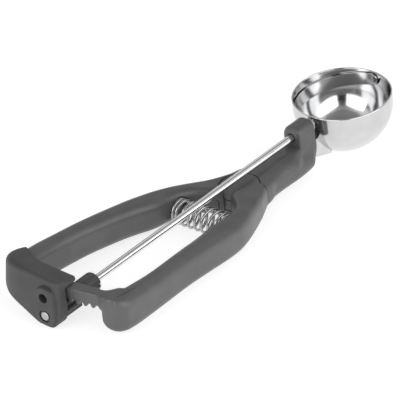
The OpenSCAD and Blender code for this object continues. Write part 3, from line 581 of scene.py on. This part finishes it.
topKeys = [[-0.046, 0], [0, 0.006], [0.04, 0.03], [0.161, 0.207], [0.281, 0.337],
           [0.442, 0.527], [0.602, 0.683], [0.763, 0.79], [0.924, 0.917], [1.012, 1]]
bottomKeys = [[-0.046, 0], [0, 0.02], [0.04, 0.05], [0.161, 0.184], [0.281, 0.28],
              [0.442, 0.488], [0.602, 0.668], [0.763, 0.764], [0.924, 0.896], [1.012, 1]]


def gripLoft(side, outKeys, inKeys, out, x0, x1, endRound):
    h = handleShape
    endY, endZ, endTop = endRound
    straight = x1 - endY
    xs = [x0 + (straight - x0) * i / 90 for i in range(91)]
    xs += [x1 - endY * (1 - math.sin(math.radians(7.5 * i))) for i in range(1, 13)]
    rings = []
    for x in xs:
        u = (x - hingeX) / layout["rackRadius"]
        d = x1 - x
        y1 = (layout["neckHalfWidth"] + (out - layout["neckHalfWidth"]) * keyCurve(outKeys, u)
              - drawIn(d, endY))
        y0 = (h["leverOut"] - h["thick"]) * keyCurve(inKeys, u)
        z1 = layout["neckTop"] + (h["top"] - layout["neckTop"]) * keyCurve(topKeys, u) - drawIn(d, endTop)
        z0 = (layout["neckBottom"] + (h["top"] - h["height"] - layout["neckBottom"]) * keyCurve(bottomKeys, u)
              + drawIn(d, endZ))
        grown = min(max((x - layout["sideSeam"]) / h["grow"], 0), 1)
        half = (y1 - y0) / 2 - 0.05
        high = min(h["start"] + (h["round"] - h["start"]) * grown, half)
        low = min(h["round"] * 0.9, half)
        rings.append([(-x, side * y, z) for y, z in filletSection(y0, y1, z0, z1, high, low)])
    return skinRings(rings)


def knuckle(z0, z1):
    # a knuckle follows the neck's rounded outside and turns inside its socket
    return carve(neckBody(hingeX + 12), [("INTERSECT", post(hingeX, z0, z1, hinge["knuckle"]))])


springSeat = {"behind": 101.0, "drop": -8.8, "left": 15.0, "right": 15.0, "pocket": 6.6, "leverPlay": 0.9}


def leverHandle():
    h, s = handleShape, springSeat
    grip = gripLoft(-1, leverOutKeys, leverInKeys, h["leverOut"], layout["sideSeam"] + layout["seamGap"],
                    h["leverEnd"], h["leverEndRound"])
    low, high = hinge["tongueFoot"] - hinge["washer"], hinge["tongueTop"] + hinge["washer"]
    pinTop, foot = layout["neckTop"] - hinge["pinSkin"] + 0.1, hinge["knuckleFoot"]
    return carve(grip, [
        cut(post(hingeX, low, high, hinge["socket"])),
        add(knuckle(high, overNeck)),
        add(knuckle(foot, low)),
        cut(post(hingeX, underNeck, pinTop, hinge["pin"] + 0.05, 48)),
        cut(post(hingeX, foot - 2, foot + hinge["headDepth"], hinge["headRadius"], 48)),
        cut(crossRod(s["behind"], s["drop"], -s["right"] - fit, 1, s["pocket"] + s["leverPlay"]))])


houseShape = {"front": 194.2, "left": 35.2, "right": -6.4, "top": 17.8, "corner": 20.6, "lowCorner": 16.0,
              "rearTurn": 4.4, "topFall": 17.7, "topRise": 4.1, "edge": 2.5, "leftEdge": 6.0,
              "rearRound": 2.4, "foot": 6.5, "draft": 0.5, "handleGap": 0.08, "reach": 39,
              "sillEdge": 1.5, "sillReach": 6, "sillTop": 5}
# from the left side inwards: how far the seam lies in front of the housing's front face
seamKeys = [[0, 9.6], [2.2, 9.1], [7.2, 6.7], [11.7, 3.8], [16.2, 1.0], [20.2, 0.15], [22.2, 0]]
underHouse = [(5.8, -6.81), (7.4, -6.35), (12, -4.4), (16.6, -2.3), (21.9, 0.1), (26, 1.6), (28.2, 2.9),
              (30, 3.9), (32, 4.6), (36, 5.2), (45, 5.2), (45, -7.8), (5.8, -7.8)]


def houseSeam(start, gap=0.0, steps=20):
    end = seamKeys[-1][0]
    return [(-houseShape["front"] + keyCurve(seamKeys, start + (end - start) * i / steps) + gap,
             houseShape["left"] - start - (end - start) * i / steps) for i in range(steps + 1)]


def houseLong(outline):
    return prism(outline, -layout["houseRear"] - 1, -layout["houseRear"] + houseShape["reach"], acrossShaft)


def houseCut():
    h, rear = houseShape, layout["houseRear"]
    gap, past = h["handleGap"], h["left"] + 9
    outline = [(-rear, h["right"]), (-rear, past), (seamKeys[0][1] - h["front"] + gap, past)]
    outline += houseSeam(0, gap) + [(-h["front"], h["right"])]
    return carve(prism(outline, layout["houseBottom"], 33), [cut(houseLong(underHouse))])


def fixedHandle():
    h, s = handleShape, springSeat
    grip = gripLoft(1, fixedOutKeys, fixedInKeys, h["fixedOut"], layout["sideSeam"] + fit,
                    h["fixedEnd"], h["fixedEndRound"])
    foot, top, half = hinge["tongueFoot"], hinge["tongueTop"], hinge["tongueHalfWidth"]
    rootRear, rootIn, rootOut = hinge["root"]
    tools = [cut(post(hingeX, underNeck, overNeck, hinge["socket"])),
             cut(houseCut()),
             add(post(hingeX, foot, top, hinge["knuckle"])),
             add(blockOf(hingeX, hingeX + rootRear, rootIn, rootOut, foot, top)),
             add(blockOf(hinge["tongueFront"], hingeX, -half, half, foot, top)),
             cut(post(hingeX, underNeck, 0, hinge["sleeve"] + fit, 48)),
             cut(crossRod(s["behind"], s["drop"], -1, s["left"] + fit, s["pocket"]))]
    return carve(grip, tools + tongueScrewHoles())


makePiece("leverHandle", leverHandle(), "lever", gripPlastic, ["lever_handle"])
makePiece("fixedHandle", fixedHandle(), "frame", gripPlastic, ["fixed_handle"])

rackShape = {"module": 1.26, "teeth": 8, "press": 25.0, "backlash": 0.3, "shift": -0.93,
             "first": 0, "last": 5,
             # the next four are in modules from the pitch line
             "gearTip": 0.7, "gearRoot": 0.92, "rackTip": 0.64, "rackRoot": 1.15,
             "thick": 6.0, "height": 5.4, "reach": 5.6, "toothEdge": 0.18, "toothRoot": 0.3}
pitchRadius = rackShape["module"] * rackShape["teeth"] / 2
toothPitch = math.pi * rackShape["module"]
toothHalf = (toothPitch - rackShape["backlash"]) / 4
gearTip = pitchRadius + rackShape["gearTip"] * rackShape["module"]
rackTip = pitchRadius - rackShape["rackTip"] * rackShape["module"]
rackRoot = pitchRadius + rackShape["rackRoot"] * rackShape["module"]
armTop = rackRoot + rackShape["height"]
armIn = layout["rackRadius"] - rackShape["thick"] / 2
armOut = layout["rackRadius"] + rackShape["thick"] / 2
armShape = {"rootY": -31.5, "fillet": 8.2, "steps": 66, "edge": 1.0, "outerGrow": 0.8, "innerGrow": 3.6,
            "lowEdge": 0.3,
            # each is an amount, how far right of the shaft it begins, and over which length it grows
            "rise": (0.25, 6.0, 4.0), "rootRise": (0.5, 21.0, 4.5), "rearTurn": (1.0, 21.0, 5.0),
            "footDrop": (1.0, 20.5, 5.5), "fall": (0.12, 14.0, 5.0), "fallFrom": 197.5}


def grownAt(name, y):
    amount, start, length = armShape[name]
    return amount * ease((-start - y) / length)


def armBar():
    a, fillet = armShape, armShape["fillet"]
    filletStart = fillet - (handleShape["leverOut"] - handleShape["thick"]) * keyCurve(leverInKeys, 1)
    rings = []
    for i in range(a["steps"] + 1):
        y = rackShape["reach"] + (a["rootY"] - rackShape["reach"]) * i / a["steps"]
        sunk = max(filletStart - y, 0)
        front = hingeX + math.sqrt(armIn**2 - y * y) - drawIn(max(fillet - sunk, 0), fillet)
        rear = hingeX + math.sqrt(armOut**2 - y * y)
        rear += (handleShape["leverEnd"] - 0.15 - rear) * grownAt("rearTurn", y)
        z0 = rackRoot - (rackRoot - rackTip) * grownAt("footDrop", y)
        top = armTop + grownAt("rise", y) + grownAt("rootRise", y)
        grown = ease(sunk / fillet)
        high = a["edge"] + a["innerGrow"] * grown
        wide = (math.sqrt(max((fillet + high) ** 2 - sunk**2, 0.04))
                - math.sqrt(max(fillet**2 - sunk**2, 0)))
        outer = a["edge"] + a["outerGrow"] * grown
        section = filletSection(-rear, -front, z0, top, outer, a["lowEdge"], 8, 1,
                                (min(wide, rear - front - 2.0), high))
        slope = grownAt("fall", y)  # its top slopes down to the front, as the lever's does
        rings.append([(x, y, z - slope * max(a["fallFrom"] + x, 0) * (z - z0) / (top - z0))
                      for x, z in section])
    return skinRings(rings)


def rackTooth(k):
    root, face = rackRoot + rackShape["toothRoot"], rackShape["thick"] - 1
    slant = math.tan(math.radians(rackShape["press"]))
    wide, narrow = toothHalf + (root - pitchRadius) * slant, toothHalf + (rackTip - pitchRadius) * slant
    turn = (k + 0.5 - rackShape["shift"] / toothPitch) * toothPitch / layout["rackRadius"]
    place = Matrix.Translation((-hingeX, 0, 0)) @ Matrix.Rotation(turn, 4, "Z") @ acrossShaft
    bm = prism([(-wide, root), (-narrow, rackTip), (narrow, rackTip), (wide, root)],
               -layout["rackRadius"] - face / 2, -layout["rackRadius"] + face / 2, place)
    return softenEdges(bm, rackShape["toothEdge"])


def rackArm():
    return joined([armBar()] + [rackTooth(k) for k in range(rackShape["first"], rackShape["last"] + 1)])


makePiece("rackArm", rackArm(), "lever", gripPlastic, ["rack_arm"])

padShape = {"radius": 5.15, "flare": 0.05, "rise": 9.3, "edge": 0.75, "faceEdge": 0.8,
            "holeRadius": 2.4, "holeDepth": 7}
# the room inside for the pinion and for the rack's travel
bayShape = {"wall": 5.9, "over": 0.35, "behind": 0.85, "before": 1.0, "under": 0.6, "endPlay": 1.4,
            "beside": 1.2, "length": 30, "shaftHole": 3.15}


def houseRing(a, draft=0.0, corners=28):
    # one level of the plan outline as (x, y, rounding): a runs over the rounded top edge
    h = houseShape
    rear = layout["houseRear"]
    turn = math.radians(h["rearTurn"])
    c = h["lowCorner"] if draft else h["corner"]
    inset = h["edge"] * (1 - math.cos(a)) - draft
    k = max(h["rearRound"], inset + 0.1)
    cy = h["left"] + draft - c
    cx = -rear + (cy - h["right"] - h["rearRound"]) * math.tan(turn) + c / math.cos(turn)
    front = [(x, h["right"] + inset + (k - inset) * (1 - s)) for x, s in
             ((-h["front"] - k + k * math.cos(t), math.sin(t))
              for t in (math.pi / 2 * i / 8 for i in range(9)))]
    ring = [(x, y, h["edge"]) for x, y in front]
    ring += [(x, y, h["edge"]) for x, y in
             arcPoints(-rear + k, h["right"] + k, k - inset, 270, 180 - h["rearTurn"], 8)]
    corner = []
    for i in range(corners + 1):
        t = math.pi - turn + (turn - math.pi / 2) * i / corners
        e = h["edge"] + (h["leftEdge"] - h["edge"]) * i / corners
        r = c - e * (1 - math.cos(a))
        corner.append((cx + r * math.cos(t), cy + r * math.sin(t), e))
    a0, b0 = ring[-1], corner[0]
    ring += [(a0[0] + (b0[0] - a0[0]) * i / 6, a0[1] + (b0[1] - a0[1]) * i / 6, h["edge"])
             for i in range(1, 6)]
    return ring + corner + [(x, y, h["leftEdge"]) for x, y in houseSeam(h["leftEdge"] * (1 - math.cos(a)))]


def houseBlock(steps=9):
    h = houseShape
    fall, rise = math.tan(math.radians(h["topFall"])), math.tan(math.radians(h["topRise"]))
    rings = [[(x, y, layout["houseBottom"]) for x, y, e in houseRing(0, h["draft"])]]
    for i in range(steps + 1):
        a = math.pi / 2 * i / steps
        rings.append([(x, y, h["top"] - (x + layout["houseRear"]) * fall
                       + (y - h["right"] - h["rearRound"]) * rise - e * (1 - math.sin(a)))
                      for x, y, e in houseRing(a)])
    return skinRings(rings)


def housePad():
    p, rear = padShape, layout["houseRear"]
    levels = [(rear - 2, p["radius"] + p["flare"]), (rear + 0.4, p["radius"])]
    levels += [(x, p["radius"] - p["edge"] + s) for x, s in (
        (layout["padRear"] - p["faceEdge"] + p["faceEdge"] * math.sin(t), p["edge"] * math.cos(t))
        for t in (math.radians(18 * i) for i in range(6)))]
    return skinRings([[(-along, y, z) for y, z in arcPoints(0, 0, radius, 180, 360, 24)
                       + arcPoints(0, p["rise"], radius, 0, 180, 24)] for along, radius in levels])


def rackChannel():
    b, right = bayShape, houseShape["right"] - 5
    top, foot = armTop + b["over"], rackTip - b["under"]
    outer, inner = armOut + b["behind"], armIn - b["before"]
    end = rackShape["reach"] + layout["rackRadius"] * math.radians(layout["squeezeAngle"]) + b["endPlay"]
    rings = []
    for i in range(25):
        y = right + (end - right) * i / 24
        x0, x1 = hingeX + math.sqrt(inner**2 - y * y), hingeX + math.sqrt(outer**2 - y * y)
        rings.append([(-x1, y, foot), (-x0, y, foot), (-x0, y, top), (-x1, y, top)])
    return skinRings(rings)


def atRearFoot(edge):
    # picks out the edge between the rear face and the hollow underside
    reach = -layout["houseRear"] + houseShape["sillReach"]
    low = all(v.co.x < reach and v.co.z < houseShape["sillTop"] for v in edge.verts)
    facing = [face.normal for face in edge.link_faces]
    return low and any(n.x < -0.6 for n in facing) and any(n.z < -0.15 for n in facing)


def gearHousing():
    h, b, bottom = houseShape, bayShape, layout["houseBottom"]
    wall, foot, padRear = layout["houseRear"] - b["wall"], h["foot"], layout["padRear"]
    corner = [(h["right"] - 2, bottom + foot)]
    corner += arcPoints(h["right"] + foot, bottom + foot, foot, 180, 270, 12)
    corner += [(h["right"] + foot, bottom - 2), (h["right"] - 2, bottom - 2)]
    block = carve(houseBlock(), [cut(houseLong(underHouse)), cut(houseLong(corner))])
    softenEdges(block, h["sillEdge"], 30, 4, atRearFoot)
    return carve(block, [
        add(housePad()),
        cut(rackChannel()),
        cut(blockOf(wall - b["length"], wall, h["right"] - 5, gearTip + b["beside"],
                    bottom - 1, armTop + b["over"])),
        cut(rod(wall - 1, padRear + 1, b["shaftHole"])),
        cut(rod(padRear - padShape["holeDepth"], padRear + 1, padShape["holeRadius"], 0, padShape["rise"]))])


makePiece("gearHousing", gearHousing(), "frame", blockPlastic, ["gear_housing"])

# the collar's radii are beyond the shaft's, and the head's places are past the shaft's end
shaftShape = {"end": 211.3, "collar": [(20.53, 0.55), (20.78, 0.8), (21.1, 0.8), (21.1, 0.0)],
              "head": [(0.02, 2.15), (0.5, 2.15), (0.7, 2.03), (0.82, 1.75)]}


def driveShaft():
    r, end = layout["shaftRadius"], shaftShape["end"]
    collar, head = shaftShape["collar"], shaftShape["head"]
    return joined([
        lathe([(collar[0][0], 0)] + [(x, r + out) for x, out in collar] + [(end, r)], 64, alongShaft()),
        lathe([(end + head[0][0], 0)] + [(end + x, radius) for x, radius in head] + [(end + head[-1][0], 0)],
              64, alongShaft())])


shaft = makePiece("driveShaft", driveShaft(), "sweeper", shaftSteel, ["drive_shaft"], 40)
# the head's faces take the darker copy of the shaft steel, painted shade on the head
shaft.data.materials.append(headShadeSteel)
for face in shaft.data.polygons:
    if (laid.inverted() @ face.center).x < -shaftShape["end"]:
        face.material_index = 1

pinionShape = {"rear": 203.1, "length": 12.4, "hubLength": 13.2, "hub": 4.7, "journal": 3.1, "hubEdge": 1.1,
               "slot": 3.3, "slotHalfWidth": 0.65}


def pinionOutline():
    press = math.radians(rackShape["press"])
    base, root = pitchRadius * math.cos(press), pitchRadius - rackShape["gearRoot"] * rackShape["module"]

    def involute(a):
        return math.tan(a) - a

    def flank(r):
        return toothHalf / pitchRadius + involute(press) - involute(math.acos(base / max(r, base)))

    radii = [root] + [base + (gearTip - base) * i / 6 for i in range(7)]
    points = []
    for k in range(rackShape["teeth"]):
        a = math.pi / 2 + math.tau * k / rackShape["teeth"] - rackShape["shift"] / pitchRadius
        points += [(r * math.cos(a - flank(r)), r * math.sin(a - flank(r))) for r in radii]
        points += [(r * math.cos(a + flank(r)), r * math.sin(a + flank(r))) for r in reversed(radii)]
    return points


def pinionGear():
    p, edge, end = pinionShape, pinionShape["hubEdge"], shaftShape["end"]
    gearFront = p["rear"] - p["length"]
    hubFront = gearFront - p["hubLength"]
    rounding = [(hubFront + edge * (1 - math.cos(a)), p["hub"] - edge * (1 - math.sin(a)))
                for a in map(math.radians, (18, 36, 54, 72, 90))]
    profile = [(hubFront, 0), (hubFront, p["hub"] - edge)] + rounding
    profile += [(gearFront, p["hub"]), (gearFront, p["journal"]), (end, p["journal"]), (end, 0)]
    hub = lathe(profile, 96, alongShaft())
    half = p["slotHalfWidth"]
    return carve(hub, [add(prism(pinionOutline(), -p["rear"], -gearFront, acrossShaft)),
                       cut(rod(hubFront - 1, 213, layout["shaftRadius"] + fit)),
                       cut(blockOf(hubFront - 1, hubFront + p["slot"], -6, 6, -half, half))])


makePiece("pinionGear", pinionGear(), "sweeper", gearPlastic, ["pinion_gear"])

springShape = {"radius": 5.6, "wire": 0.68, "coils": 9, "perTurn": 40, "sides": 12, "seatPlay": 0.1}
coilKeys = [[0, 0], [0.139, 0.075], [0.5, 0.5], [0.861, 0.925], [1, 1]]  # closer turns at both ends


def returnSpring():
    s = springShape
    count = s["coils"] * s["perTurn"]
    y0 = -springSeat["right"] + s["wire"] + s["seatPlay"]
    y1 = springSeat["left"] - s["wire"] - s["seatPlay"]
    rings = []
    for j in range(count + 1):
        a = math.tau * j / s["perTurn"] - math.pi / 2
        y = y0 + (y1 - y0) * keyCurve(coilKeys, j / count)
        ring = []
        for i in range(s["sides"]):
            b = math.tau * i / s["sides"]
            r = s["radius"] + s["wire"] * math.cos(b)
            ring.append((-springSeat["behind"] + r * math.cos(a), y + s["wire"] * math.sin(b),
                         springSeat["drop"] + r * math.sin(a)))
        rings.append(ring)
    return skinRings(rings)


spring = makePiece("returnSpring", returnSpring(), "frame", wireSteel, ["return_spring"])
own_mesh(spring)

studio = {"floor": 0.5, "glow": 0.72, "floorSize": 30, "floorDrop": 0.0002, "behind": 0.95,
          # brightness by height
          "sky": [(0.0, 0.85), (0.2, 0.6), (0.3, 0.2), (0.46, 0.25), (0.54, 0.85), (0.7, 0.85),
                  (0.78, 0.3), (1.0, 0.22)],
          # the dark side of the room: its direction, its edge and its brightness
          "darkSide": (-0.757, -0.654, 0.0), "darkEdge": (0.55, 0.8), "darkShare": 0.16}
floorMesh = bpy.data.meshes.new("floorSheet")
bm = bmesh.new()
bmesh.ops.create_grid(bm, x_segments=2, y_segments=2, size=studio["floorSize"])
bm.to_mesh(floorMesh)
bm.free()
floorSheet = bpy.data.objects.new("floorSheet", floorMesh)
floorSheet.location = (0, 0, -studio["floorDrop"])
scene.collection.objects.link(floorSheet)
floorMaterial = bpy.data.materials.new("paleFloor")
floorMaterial.use_nodes = True
floorShader = floorMaterial.node_tree.nodes["Principled BSDF"]
floorShader.inputs["Base Color"].default_value = (studio["floor"], studio["floor"], studio["floor"], 1)
floorShader.inputs["Roughness"].default_value = 0.9
floorShader.inputs["Specular IOR Level"].default_value = 0.0
floorShader.inputs["Emission Color"].default_value = (1, 1, 1, 1)
floorShader.inputs["Emission Strength"].default_value = studio["glow"]
floorMesh.materials.append(floorMaterial)
print("floor laid")

world = bpy.data.worlds.new("studioWorld")
scene.world = world
world.use_nodes = True
sky = world.node_tree
skyWay = sky.nodes.new("ShaderNodeTexCoord")
skySplit = sky.nodes.new("ShaderNodeSeparateXYZ")
skyTurn = sky.nodes.new("ShaderNodeVectorMath")
skyTurn.operation = "DOT_PRODUCT"
skyTurn.inputs[1].default_value = studio["darkSide"]
sky.links.new(skyWay.outputs["Generated"], skySplit.inputs["Vector"])
sky.links.new(skyWay.outputs["Generated"], skyTurn.inputs[0])
skyTone = rampOf(sky, skySplit.outputs["Z"], [(height, (tone, tone, tone)) for height, tone in studio["sky"]])
skyShade = rangeOf(sky, skyTurn.outputs["Value"], 1.0, studio["darkShare"], *studio["darkEdge"])
skyDim = sky.nodes.new("ShaderNodeMixRGB")
skyDim.blend_type = "MULTIPLY"
skyDim.inputs["Fac"].default_value = 1.0
sky.links.new(skyTone, skyDim.inputs["Color1"])
sky.links.new(skyShade, skyDim.inputs["Color2"])
skySeen = sky.nodes.new("ShaderNodeLightPath")
skyMix = sky.nodes.new("ShaderNodeMixRGB")
skyMix.inputs["Color2"].default_value = (studio["behind"], studio["behind"], studio["behind"], 1)
sky.links.new(skySeen.outputs["Is Camera Ray"], skyMix.inputs["Fac"])
sky.links.new(skyDim.outputs["Color"], skyMix.inputs["Color1"])
sky.links.new(skyMix.outputs["Color"], sky.nodes["Background"].inputs["Color"])

panels = {  # upright white panels behind the handles' end and at the right
    "rearPanel": {"at": (-1.0, -0.03, 0.52), "face": (1, 0, 0), "size": (1.2, 1.0), "radiance": 2.1},
    "rightPanel": {"at": (0.1, -1.0, 0.52), "face": (0, 1, 0), "size": (1.5, 1.0), "radiance": 2.1},
}
for name, panel in panels.items():
    light = bpy.data.lights.new(name, "AREA")
    light.shape = "RECTANGLE"
    light.size, light.size_y = panel["size"]
    light.energy = panel["radiance"] * math.pi * light.size * light.size_y
    lightObject = bpy.data.objects.new(name, light)
    lightObject.location = panel["at"]
    lightObject.rotation_mode = "QUATERNION"
    lightObject.rotation_quaternion = (-Vector(panel["face"])).to_track_quat("Z", "Y")
    lightObject.visible_camera = False
    scene.collection.objects.link(lightObject)
print("sky and", len(panels), "panels lit")

eye = {"lens": 1500.0, "sensor": 36, "azimuth": -49.126, "elevation": 28.113, "roll": -2.937,
       "aim": (-0.00062, 0.00685, 0.012), "distance": 7.4905}
azimuth, elevation = math.radians(eye["azimuth"]), math.radians(eye["elevation"])
back = Vector((math.sin(azimuth) * math.cos(elevation), -math.cos(azimuth) * math.cos(elevation),
               math.sin(elevation)))
level = Vector((math.cos(azimuth), math.sin(azimuth), 0))
roll = Matrix.Rotation(math.radians(eye["roll"]), 3, "Z")
axes = Matrix((level, back.cross(level), back)).transposed() @ roll
camera = bpy.data.cameras.new("camera")
camera.lens = eye["lens"]
camera.sensor_width = eye["sensor"]
camera.clip_start, camera.clip_end = eye["distance"] * 0.3, eye["distance"] * 3
cameraObject = bpy.data.objects.new("camera", camera)
cameraObject.matrix_world = Matrix.Translation(Vector(eye["aim"]) + back * eye["distance"]) @ axes.to_4x4()
scene.collection.objects.link(cameraObject)
scene.camera = cameraObject
scene.view_settings.view_transform = "Standard"
print("camera at", eye["distance"], "m, lens", camera.lens)
